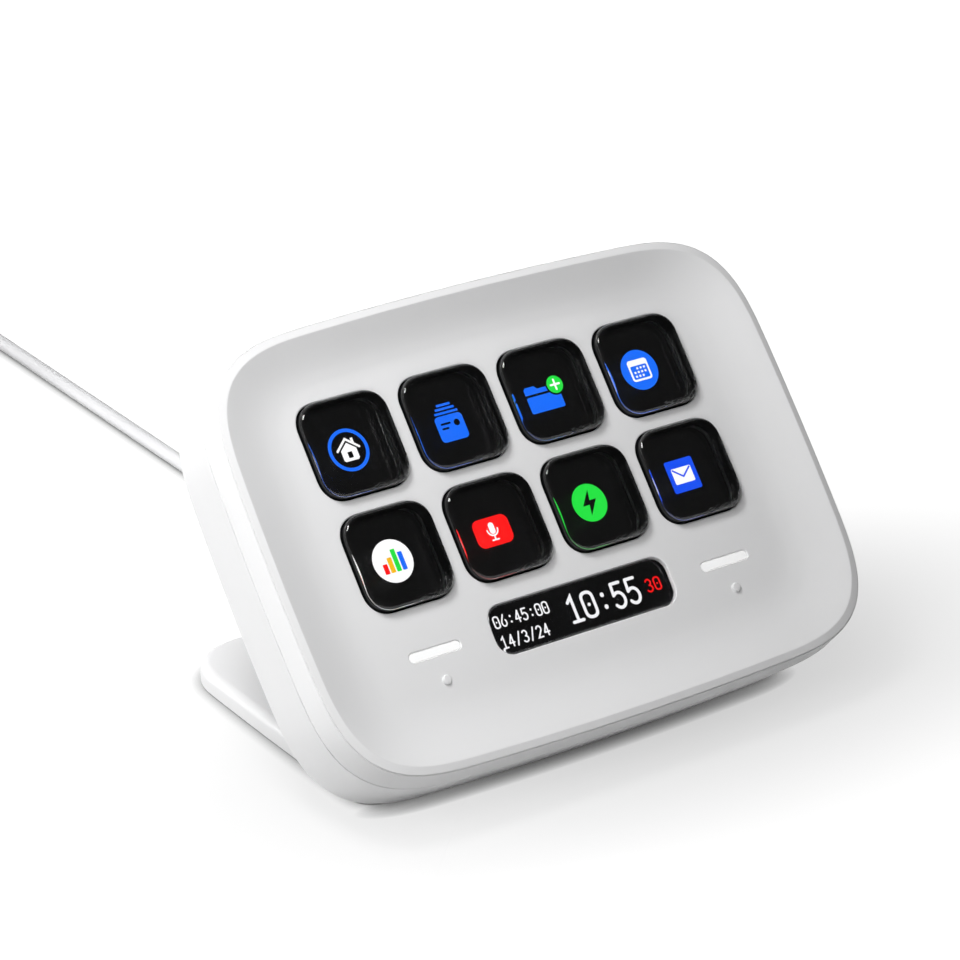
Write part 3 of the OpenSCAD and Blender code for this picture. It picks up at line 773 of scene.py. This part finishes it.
def make_caps(finishes):
    """Clear caps, black on their sides, with a soft shoulder round the top, rippled at one corner."""
    flange_top = FLANGE_Z + FLANGE_T
    shoulder = over_edge((0, KEY_OUT), SHOULDER, SHOULDER_DROP, 10)
    side = [(-CORE_INSET - CORE_EDGE, CAP_BACK_Z), (-CORE_INSET, CAP_BACK_Z + CORE_EDGE),
            (-CORE_INSET, FLANGE_Z), (FLANGE_OUT - FLANGE_EDGE, FLANGE_Z),
            (FLANGE_OUT, FLANGE_Z + FLANGE_EDGE), (FLANGE_OUT, flange_top - FLANGE_EDGE),
            (FLANGE_OUT - FLANGE_EDGE, flange_top), (0, flange_top), *shoulder[:BLACK_RINGS]]
    for n, at in enumerate(KEY_PLACES):
        skin = Skin()
        below = [lifted(key_outline(grow, at), z) for grow, z in side]
        above = [lifted(key_outline(grow, at), z) for grow, z in shoulder[BLACK_RINGS - 1:]]
        skin.face(below[0][::-1], CLEAR)
        skin.stack(below, DARK)
        first = len(skin.faces)
        skin.stack(above, CLEAR)
        for i, corners in enumerate(skin.faces[first:], first):
            x, y = (sum(skin.points[c][axis] for c in corners) / len(corners) - at[axis]
                    for axis in (0, 1))
            if x > 0 and y < RIPPLED_BELOW:
                skin.marks[i] = RIPPLED
        skin.face(above[-1], CLEAR)
        skin.make(f"clear_cap_{n + 1}", finishes, "clear_caps", ride=f"key_{n + 1}",
                  replaces=[f"key_cap_{n + 1}"])


def make_lens(finish):
    skin = Skin()
    levels = [(LENS_FLANGE, LENS_Z), (LENS_FLANGE, UNDER_PLATE), (-KEY_GAP, UNDER_PLATE),
              *over_edge((-KEY_GAP, -LENS_SINK), LENS_EDGE_W, LENS_EDGE_H, 6)]
    closed(skin, [lifted(grown(INFO_W, INFO_H, INFO_R, grow, (0, -INFO_Y)), z) for grow, z in levels])
    skin.make("window_lens", [finish], "clear_lens", replaces=["info_lens"])


def make_bars(finish):
    levels = [(BAR_FLANGE, BAR_Z), (BAR_FLANGE, UNDER_PLATE), (-BAR_GAP, UNDER_PLATE),
              (-BAR_GAP, -BAR_SINK - BAR_ROUND),
              (-BAR_GAP - BAR_ROUND / 3, -BAR_SINK - BAR_ROUND / 3), (-BAR_GAP - BAR_ROUND, -BAR_SINK)]
    for side, word in zip(SIDES, ("left", "right")):
        skin = Skin()
        at = (side * BAR_X, -INFO_Y)
        closed(skin, [lifted(grown(BAR_W, BAR_H, BAR_R, grow, at), z) for grow, z in levels])
        skin.make(f"light_bar_{word}", [finish], "light_guides", replaces=[f"touch_bar_{word}"])


# ---------------------------------------------------------------- the mat under the caps
MAT_W = 4 * PITCH + 1
MAT_H = 2 * PITCH + 1
MAT_R = 4
MAT_T = 0.2
MAT_GAP = 0.2
MAT_HOLE_S = KEY_S - 2 * CORE_INSET + 2 * MAT_GAP
MAT_HOLE_R = KEY_R - CORE_INSET + MAT_GAP
MAT_TOP = FLANGE_Z - CAP_TRAVEL - FIT_GAP
COLLAR_S = KEY_S + 2 * FLANGE_OUT - 2 * MAT_GAP
COLLAR_R = KEY_R + FLANGE_OUT - MAT_GAP
COLLAR_WALL = 0.7
COLLAR_TOP = FLANGE_Z - FIT_GAP
COLLAR_ROUND = 0.1


def make_mat(finish):
    """Silicone mat with a window and a collar for each cap."""
    skin = Skin()
    edge = rounded(MAT_W, MAT_H, MAT_R, (0, KEYS_Y))
    holes = [rounded(MAT_HOLE_S, MAT_HOLE_S, MAT_HOLE_R, at) for at in KEY_PLACES]
    skin.sheet(edge, holes, level(MAT_TOP))
    skin.sheet(edge, holes, level(MAT_TOP - MAT_T), up=False)
    for loop in [edge] + [hole[::-1] for hole in holes]:
        skin.bridge(lifted(loop, MAT_TOP - MAT_T), lifted(loop, MAT_TOP))
    skin.make("mat_sheet", [finish], "mat_rubber", replaces=["dome_mat"])
    section = [(0, MAT_TOP), (0, COLLAR_TOP - COLLAR_ROUND), (COLLAR_ROUND, COLLAR_TOP),
               (COLLAR_WALL - COLLAR_ROUND, COLLAR_TOP), (COLLAR_WALL, COLLAR_TOP - COLLAR_ROUND),
               (COLLAR_WALL, MAT_TOP), (0, MAT_TOP)]
    for n, at in enumerate(KEY_PLACES):
        skin = Skin()
        skin.stack([lifted(grown(COLLAR_S, COLLAR_S, COLLAR_R, -inset, at), z)
                    for inset, z in section])
        collar = skin.make(f"mat_collar_{n + 1}", [finish], "mat_rubber", replaces=["dome_mat"])
        (ON_SLAB @ Vector((*at, MAT_TOP))) * MM
        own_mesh(collar)


# ---------------------------------------------------------------- parts that stay as constructed
CAD_SHARP = 35
WELD = 0.002


def soft_edges():
    """Node group that shades a part smooth except over its sharp edges."""
    tree = bpy.data.node_groups.new("smooth over soft edges", "GeometryNodeTree")
    for way in ("INPUT", "OUTPUT"):
        tree.interface.new_socket("Geometry", in_out=way, socket_type="NodeSocketGeometry")
    steps = [tree.nodes.new(kind) for kind in (
        "NodeGroupInput", "GeometryNodeMergeByDistance", "GeometryNodeSetShadeSmooth",
        "GeometryNodeSetShadeSmooth", "NodeGroupOutput")]
    steps[1].inputs["Distance"].default_value = WELD * MM
    steps[3].domain = "EDGE"
    steps[3].inputs["Shade Smooth"].default_value = False
    for first, second in zip(steps, steps[1:]):
        tree.links.new(first.outputs[0], second.inputs[0])
    edge = tree.nodes.new("GeometryNodeInputMeshEdgeAngle")
    sharp = tree.nodes.new("FunctionNodeCompare")
    sharp.inputs[1].default_value = math.radians(CAD_SHARP)
    tree.links.new(edge.outputs[0], sharp.inputs[0])
    tree.links.new(sharp.outputs[0], steps[3].inputs["Selection"])
    return tree


def dress_nodes():
    smooth = soft_edges()
    for name, finish in CAD_FINISHES.items():
        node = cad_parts[name]
        node.data.materials.clear()
        node.data.materials.append(finish)
        node.modifiers.new("smooth", "NODES").node_group = smooth
        weighted = node.modifiers.new("flat faces stay flat", "WEIGHTED_NORMAL")
        weighted.keep_sharp = True


# ---------------------------------------------------------------- lit pictures
LAYER = 0.015
LAYER_PITCH = 1.2
LIT = ("blue", "deep blue", "white", "red", "green", "yellow", "black")


def plate(skin, loop, z, mark):
    """A thin closed plate over z."""
    low, high = lifted(loop, z), lifted(loop, z + LAYER)
    skin.face(low[::-1], mark)
    skin.bridge(low, high, mark)
    skin.face(high, mark)


def band(skin, outer, inner, z, mark):
    """A thin closed ring over z between two loops with as many points."""
    skin.stack([lifted(inner, z), lifted(outer, z), lifted(outer, z + LAYER), lifted(inner, z + LAYER),
                lifted(inner, z)], mark)


def arc(x, y, rx, ry, start, end, steps=10):
    """Points of an oval arc between two angles."""
    turns = [math.radians(start + (end - start) * i / steps) for i in range(steps + 1)]
    return [(x + rx * math.cos(t), y + ry * math.sin(t)) for t in turns]


def ribbon(path, width):
    """Outline of a line of even width along a path, with round ends."""
    points = [Vector(p) for p in path]
    steps = [(b - a).normalized() for a, b in zip(points, points[1:])]
    sides = [Vector((-d.y, d.x)) for d in steps]
    left, right = [], []
    for i, p in enumerate(points):
        first, second = sides[max(i - 1, 0)], sides[min(i, len(sides) - 1)]
        reach = (first + second) / (1 + first.dot(second)) * width / 2
        left.append(p + reach)
        right.append(p - reach)
    loop = right[:]
    for end, heading in ((points[-1], steps[-1]), (points[0], -steps[0])):
        aim = math.atan2(heading.y, heading.x)
        loop += [end + Vector((math.cos(t), math.sin(t))) * width / 2
                 for t in [aim + math.pi * (k / 6 - 0.5) for k in range(1, 6)]]
        if end is points[-1]:
            loop += left[::-1]
    return [(p.x, p.y) for p in loop]


# each digit's lines, in a box one wide and one high
GLYPHS = {
    "1": [[(0.1, 0.8), (0.5, 1), (0.5, 0)], [(0.05, 0), (0.95, 0)]],
    "2": [arc(0.5, 0.72, 0.46, 0.28, 160, -25) + [(0.06, 0), (0.96, 0)]],
    "3": [arc(0.46, 0.75, 0.44, 0.25, 150, -80), arc(0.46, 0.26, 0.5, 0.26, 80, -150)],
    "4": [[(0.7, 0), (0.7, 1)], [(0.7, 1), (0.02, 0.3)], [(0.02, 0.3), (1, 0.3)]],
    "5": [[(0.9, 1), (0.14, 1)], [(0.14, 1), (0.08, 0.53)],
          [(0.08, 0.53)] + arc(0.46, 0.31, 0.5, 0.31, 120, -145, 14)],
    "6": [[(0.66, 1), (0.2, 0.56)] + arc(0.5, 0.31, 0.46, 0.31, 150, 400, 18)],
    ":": [[(0.5, 0.2), (0.5, 0.22)], [(0.5, 0.7), (0.5, 0.72)]],
    "/": [[(0.1, -0.05), (0.9, 1.05)]],
}


ZERO_POWER = 2.4
ZERO_DOT = 0.55
COLON_DOT = 1.35


def write(skin, digits, left, low, width, height, pitch, stroke, z, mark):
    """Plain digits from left to right, built of lines with round ends."""
    for n, digit in enumerate(digits):
        x = left + n * pitch
        if digit == "0":
            middle = (x + width / 2, low + height / 2)
            loops = [moved(whole(quarter(
                width / 2 + grow, height / 2 + grow, width / 2 + grow, ZERO_POWER, side=2, corner=8,
                end=2)), middle) for grow in (stroke / 2, -stroke / 2)]
            band(skin, *loops, z, mark)
            plate(skin, circle(stroke * ZERO_DOT, middle, 16), z, mark)
        else:
            wide = stroke * COLON_DOT if digit == ":" else stroke
            for path in GLYPHS[digit]:
                plate(skin, ribbon([(x + u * width, low + v * height) for u, v in path], wide), z, mark)


# Each picture is drawn round its key's middle: sizes, a path or a place, the layer and the colour.
def picture_home(p):
    p.ring(3.65, 3.05, 0, "blue")
    p.area([(-1.2, -1.85), (1.2, -1.85), (1.45, -1.6), (1.45, 0.05), (0, 1.25), (-1.45, 0.05),
            (-1.45, -1.6)], 0, "white")
    p.block(0.85, 1.05, 0.12, (0, -0.85), 1, "black")
    p.line([(-2.05, 0.15), (0, 1.9), (2.05, 0.15)], 0.38, 0, "white")
    p.area([(0.95, 1.25), (1.4, 0.85), (1.4, 1.85), (0.95, 1.85)], 0, "white")


def picture_cards(p):
    p.block(5.3, 4.5, 0.75, (0.15, -0.95), 0, "blue")
    for width, y in ((4.5, 1.75), (3.7, 2.45), (2.7, 3.12)):
        p.block(width, 0.4, 0.12, (0.15, y), 0, "blue")
    p.line([(-1.5, -0.1), (0.1, -0.1)], 0.34, 1, "black")
    p.line([(-1.5, -0.9), (-0.5, -0.9)], 0.34, 1, "black")
    p.disc(0.56, (1.4, -0.3), 1, "black")


def picture_folder(p):
    p.block(6.7, 2.9, 0.35, (-0.4, -1.1), 0, "blue")
    p.area([(-3.75, 0.75), (2.95, 0.75), (2.95, 1.55), (-1.1, 1.55), (-1.6, 2.1), (-3.4, 2.1),
            (-3.75, 1.75)], 0, "blue")
    p.disc(1.85, (2.45, 1.45), 1, "black")
    p.disc(1.55, (2.45, 1.45), 2, "green")
    p.line([(1.6, 1.45), (3.3, 1.45)], 0.36, 3, "white")
    p.line([(2.45, 0.6), (2.45, 2.3)], 0.36, 3, "white")


def picture_calendar(p):
    p.disc(3.6, (0, 0), 0, "blue")
    p.block(4, 3.8, 0.55, (0, 0), 1, "white")
    p.block(3.3, 2.4, 0.25, (0, -0.35), 2, "blue")
    for row in range(3):
        for column in range(4):
            if row * 4 + column not in (0, 11):
                p.block(0.38, 0.38, 0.1, (-1.05 + 0.7 * column, 0.35 - 0.7 * row), 3, "white")


def picture_chart(p):
    p.disc(3.65, (0, 0), 0, "white")
    for n, (height, colour) in enumerate(((1.7, "red"), (2.6, "yellow"), (3.8, "green"), (3.1, "blue"))):
        p.block(0.85, height, 0.15, (-1.65 + 1.1 * n, -1.9 + height / 2), 1, colour)


def picture_voice(p):
    p.block(6.9, 4.9, 1.3, (0, 0), 0, "red")
    p.block(1.05, 2, 0.52, (0, 0.55), 1, "white")
    p.line(arc(0, 0.35, 1, 1.05, 180, 360), 0.26, 1, "white")
    p.line([(0, -0.75), (0, -1.4)], 0.26, 1, "white")
    p.line([(-0.6, -1.45), (0.6, -1.45)], 0.26, 1, "white")


def picture_power(p):
    p.disc(3.3, (0, 0), 0, "green")
    p.area([(0.5, 2.2), (-1.45, -0.35), (-0.15, -0.35), (-0.5, -2.2), (1.45, 0.4), (0.15, 0.4)],
           1, "black")


def picture_letter(p):
    p.block(5.7, 5.7, 0.4, (0, 0), 0, "deep blue")
    p.block(4, 2.8, 0.25, (0, 0), 1, "white")
    p.line([(-1.75, 1.15), (0, -0.25), (1.75, 1.15)], 0.3, 2, "deep blue")


class Picture:
    """A lit picture behind one key."""

    def __init__(self, at):
        self.skin = Skin()
        self.at = at

    def height(self, layer):
        return DISPLAY_Z + LAYER * (1 + layer * LAYER_PITCH)

    def area(self, loop, layer, colour):
        plate(self.skin, moved(loop, self.at), self.height(layer), LIT.index(colour))

    def disc(self, r, at, layer, colour):
        self.area(circle(r, at, 48), layer, colour)

    def block(self, w, h, r, at, layer, colour):
        self.area(rounded(w, h, r, at), layer, colour)

    def line(self, path, width, layer, colour):
        self.area(ribbon(path, width), layer, colour)

    def ring(self, outer, inner, layer, colour):
        loops = [circle(r, self.at, 64) for r in (outer, inner)]
        band(self.skin, *loops, self.height(layer), LIT.index(colour))


PICTURES = (picture_home, picture_cards, picture_folder, picture_calendar,
            picture_chart, picture_voice, picture_power, picture_letter)
PICTURE_SHIFT = 0.35
PICTURE_SHARP = 20
CLOCK_Z = INFO_DISPLAY_Z + 0.005
CLOCK = [
    # digits, left, low, width, height, pitch, stroke, colour
    ("10:55", -2.15, -2.1, 2.15, 4.2, 2.96, 0.54, "white"),
    ("06:45:00", -16.2, 0.72, 0.95, 1.9, 1.37, 0.26, "white"),
    ("14/3/24", -16.2, -2.75, 0.95, 1.9, 1.37, 0.26, "white"),
    ("30", 13.55, -1.05, 1.1, 2.1, 1.65, 0.3, "red"),
]


def make_pictures(finishes):
    for n, (draw, at) in enumerate(zip(PICTURES, KEY_PLACES)):
        picture = Picture((at[0] + PICTURE_SHIFT, at[1]))
        draw(picture)
        picture.skin.make(f"lit_picture_{n + 1}", finishes, "display_glass", sharp=PICTURE_SHARP)


def make_clock(finishes):
    skin = Skin()
    for digits, left, low, *sizes, colour in CLOCK:
        write(skin, digits, left, low - INFO_Y, *sizes, CLOCK_Z, LIT.index(colour))
    skin.make("clock_digits", finishes, "display_glass", sharp=PICTURE_SHARP)


# ---------------------------------------------------------------- finishes of this object
WHITE_PLASTIC = moulded("white plastic", (0.84, 0.84, 0.845), (0.82, 0.82, 0.825), 0.42, 3.5, 0.006)
CORD_RUBBER = moulded("cord rubber", (0.8, 0.8, 0.81), (0.76, 0.76, 0.77), 0.5, 5, 0.01)
PAD_RUBBER = moulded("pad rubber", (0.36, 0.36, 0.37), (0.3, 0.3, 0.31), 0.75, 2.5, 0.03)
BLACK_MAT = moulded("black silicone", (0.01, 0.01, 0.011), (0.014, 0.014, 0.015), 0.6, 3, 0.01)
CLEAR_CAP = clear("clear cap", (1, 1, 1))
CAP_SIDE = moulded("black cap side", (0.004, 0.004, 0.005), (0.003, 0.003, 0.003), 0.05, 1.8, 0.01, 0.25)
CAP_RIPPLE = clear("rippled cap shoulder", (1, 1, 1), 1.8, 0.45)
CLEAR_LENS = clear("clear lens", (0.9, 0.9, 0.92))
LIGHT_GUIDE = Finish("light guide").surface(
    base_color=(0.9, 0.9, 0.9), roughness=0.3, emission_color=(1, 1, 1), emission_strength=0.25)
STEEL = plated("screw steel", (0.62, 0.62, 0.64), (0.5, 0.5, 0.52), 0.28, 4)
BALLAST = plated("zinc plate", (0.55, 0.56, 0.58), (0.4, 0.41, 0.43), 0.42, 1.5)
NICKEL = plated("nickel", (0.72, 0.71, 0.69), (0.62, 0.61, 0.6), 0.2, 3)
INNER_PLASTIC = moulded("inner plastic", (0.022, 0.022, 0.024), (0.016, 0.016, 0.018), 0.55, 3, 0.01)
GRIP_PLASTIC = moulded("grip plastic", (0.8, 0.8, 0.81), (0.76, 0.76, 0.77), 0.45, 3, 0.01)
CHIP_BLACK = moulded("chip resin", (0.02, 0.02, 0.02), (0.012, 0.012, 0.012), 0.6, 6, 0.01)
LAMP_YELLOW = moulded("lamp yellow", (0.85, 0.66, 0.12), (0.72, 0.52, 0.08), 0.35, 5, 0.01)
BOARD = woven("circuit board", (0.014, 0.022, 0.018), (0.006, 0.011, 0.009), 0.38, 2, 0.004)
TIE_STRAP = woven("tie strap", (0.3, 0.3, 0.31), (0.14, 0.14, 0.145), 0.8, 1.4, 0.08)
RIBBON_FILM = film()
DISPLAY_GLASS = moulded("display glass", (0.003, 0.003, 0.004), (0.002, 0.002, 0.002), 0.16, 0.6, 0.0005)
CAD_FINISHES = {
    "foot": WHITE_PLASTIC, "foot_weight": BALLAST, "base_pad": PAD_RUBBER,
    "key_board": BOARD, "main_board": BOARD, "key_display": DISPLAY_GLASS,
    "info_display": DISPLAY_GLASS,
    "display_tray": INNER_PLASTIC, "display_ribbon": RIBBON_FILM, "touch_lamps": LAMP_YELLOW,
    "board_chips": CHIP_BLACK, "board_socket": NICKEL, "inner_lead": CORD_RUBBER,
    "board_screws": STEEL, "foot_screws": STEEL, "cord_boot": CORD_RUBBER, "coil_tie": TIE_STRAP,
    "plug_grip": GRIP_PLASTIC, "plug_shell": NICKEL,
}
LIT_FINISHES = [
    lit("blue", (0.004, 0.15, 0.96)), lit("deep blue", (0.003, 0.075, 0.88)), lit("white", (1, 1, 1)),
    lit("red", (1, 0.003, 0.003)), lit("green", (0.012, 0.76, 0.05)), lit("yellow", (0.95, 0.5, 0.002)),
    DISPLAY_GLASS,
]


# ---------------------------------------------------------------- floor, lamps and room
FLOOR_HALF = 6
FLOOR_COLOUR = 0.5  # as the lamps and the object meet it
FLOOR_SHADE = 0.12  # as it is seen, besides its lift
FLOOR_NEAR = 0.46  # lift at the middle of the painted shadow
FLOOR_FAR = 1.11  # lift beyond the painted shadow
# the painted soft shadow on the floor: its middle, how it is stretched, and from where to where the lift
# rises
PAINTED_SHADOW_AT = (0.021, -0.013, 0)
PAINTED_SHADOW_SPREAD = (0.515, 1, 1)
PAINTED_SHADOW_REACH = (-0.02, 0.092)
PAINTED_CONTACT_WIDTH = 0.0025  # width of the painted contact shadow, a dark line under what touches the floor
WORLD_LEVEL = 0.01
ROOM_LEVEL = 0.05
BACKDROP_EDGE = 0.5
PANEL_AIM = (0, -0.005, 0.045)
DESK_AIM = (0, 0, 0.03)
LAMPS = [
    # name, place, aim, diameter, power
    ("panel_front", (-0.106, -0.134, 0.294), PANEL_AIM, 0.16, 0.31),
    ("panel_middle", (-0.123, 0.002, 0.319), PANEL_AIM, 0.1, 0.62),
    ("panel_left", (-0.2, -0.2, 0.12), PANEL_AIM, 0.16, 0.15),
    ("window", (-1.041, 0.757, 0.211), DESK_AIM, 0.35, 8.2),
    ("back", (0.8, 0.9, 0.7), DESK_AIM, 0.5, 0.6),
    ("cord", (-0.15, 0.34, 0.3), (-0.01, 0.13, 0), 0.2, 0.42),
]
MIRRORED = ("panel_middle", "window", "back")


def rays(f, *kinds):
    """1 on a ray of any of these kinds."""
    found = [f.add("ShaderNodeLightPath", output=f"Is {kind} Ray") for kind in kinds]
    while len(found) > 1:
        found.append(f.add("ShaderNodeMath", {"operation": "MAXIMUM"}, {0: found.pop(), 1: found.pop()}))
    return found[0]


def make_floor():
    """White paper on the desk. Where it is seen it is lifted to white, and keeps a part of its shade.
    The lift is lower in a stretched round a little to the right of and in front of the object, which is
    a painted soft shadow, and it dims where ambient occlusion finds something close, which is a painted
    contact shadow.
    """
    corners = [(x * FLOOR_HALF, y * FLOOR_HALF, 0) for x, y in ((-1, -1), (1, -1), (1, 1), (-1, 1))]
    mesh = bpy.data.meshes.new("floor")
    mesh.from_pydata(corners, [], [(0, 1, 2, 3)])
    floor = bpy.data.objects.new("floor", mesh)
    bpy.context.collection.objects.link(floor)
    f = Finish("floor")
    shaded = f.add("ShaderNodeMapping", {"vector_type": "TEXTURE"}, {
        "Vector": f.place(), "Location": PAINTED_SHADOW_AT, "Scale": [1 / s for s in PAINTED_SHADOW_SPREAD]})
    away = f.add("ShaderNodeVectorMath", {"operation": "LENGTH"}, {0: shaded}, output="Value")
    # painted soft shadow: the lift to white rises from the middle of the stretched round outwards
    lift = f.add("ShaderNodeMapRange", {"interpolation_type": "SMOOTHSTEP"}, {
        "Value": away, "From Min": PAINTED_SHADOW_REACH[0], "From Max": PAINTED_SHADOW_REACH[1],
        "To Min": FLOOR_NEAR / FLOOR_FAR, "To Max": 1})
    # painted contact shadow: the lift to white dims where ambient occlusion finds something close
    painted_contact_shadow = f.add("ShaderNodeAmbientOcclusion", {"samples": 8}, {"Distance": PAINTED_CONTACT_WIDTH}, output="AO")
    paper, shade = (f.add("ShaderNodeBsdfDiffuse", {}, {"Color": rgba((grey, grey, grey))})
                    for grey in (FLOOR_COLOUR, FLOOR_SHADE))
    white = f.add("ShaderNodeEmission", {}, {"Color": (1, 1, 1, 1), "Strength": FLOOR_FAR})
    lifted_white = f.add("ShaderNodeMixShader", {}, {0: lift * painted_contact_shadow, 2: white})
    seen = f.add("ShaderNodeAddShader", {}, {0: shade, 1: lifted_white})
    mesh.materials.append(f.out(f.add("ShaderNodeMixShader", {}, {
        0: rays(f, "Camera", "Glossy", "Transmission"), 1: paper, 2: seen})))


def make_lamps():
    for name, place, aim, diameter, power in LAMPS:
        data = bpy.data.lights.new(name, "AREA")
        data.shape = "DISK"
        data.size = diameter
        data.energy = power
        lamp = bpy.data.objects.new(name, data)
        lamp.location = place
        lamp.rotation_euler = (Vector(aim) - Vector(place)).to_track_quat("-Z", "Y").to_euler()
        lamp.visible_camera = False
        lamp.visible_glossy = name in MIRRORED
        bpy.context.collection.objects.link(lamp)


def make_world():
    """A white backdrop behind the desk and a dim room in front of it, which gloss mirrors."""
    world = bpy.data.worlds.new("studio")
    world.use_nodes = True
    bpy.context.scene.world = world
    f = Nodes(world.node_tree)
    camera = rays(f, "Camera")
    caught = rays(f, "Glossy", "Transmission")
    towards = f.add("ShaderNodeTexCoord", output="Generated")
    behind = f.add("ShaderNodeSeparateXYZ", {}, {"Vector": towards}, output="Y")
    backdrop = f.add("ShaderNodeMapRange", {"interpolation_type": "SMOOTHSTEP"}, {
        "Value": behind, "From Min": 0, "From Max": BACKDROP_EDGE, "To Min": ROOM_LEVEL, "To Max": 1})
    unseen = caught * backdrop + (1 - caught) * WORLD_LEVEL
    light = f.add("ShaderNodeBackground", {}, {
        "Color": (1, 1, 1, 1), "Strength": camera + (1 - camera) * unseen})
    f.add("ShaderNodeOutputWorld", {}, {"Surface": light})


# ---------------------------------------------------------------- making
make_camera()
make_cord(CORD_RUBBER)
make_face(WHITE_PLASTIC)
make_back(WHITE_PLASTIC)
make_case_screws(STEEL)
make_caps([CLEAR_CAP, CAP_SIDE, CAP_RIPPLE])
make_mat(BLACK_MAT)
make_lens(CLEAR_LENS)
make_bars(LIGHT_GUIDE)
make_pictures(LIT_FINISHES)
make_clock(LIT_FINISHES)
dress_nodes()
make_floor()
make_lamps()
make_world()
bpy.context.scene.view_settings.view_transform = "Standard"
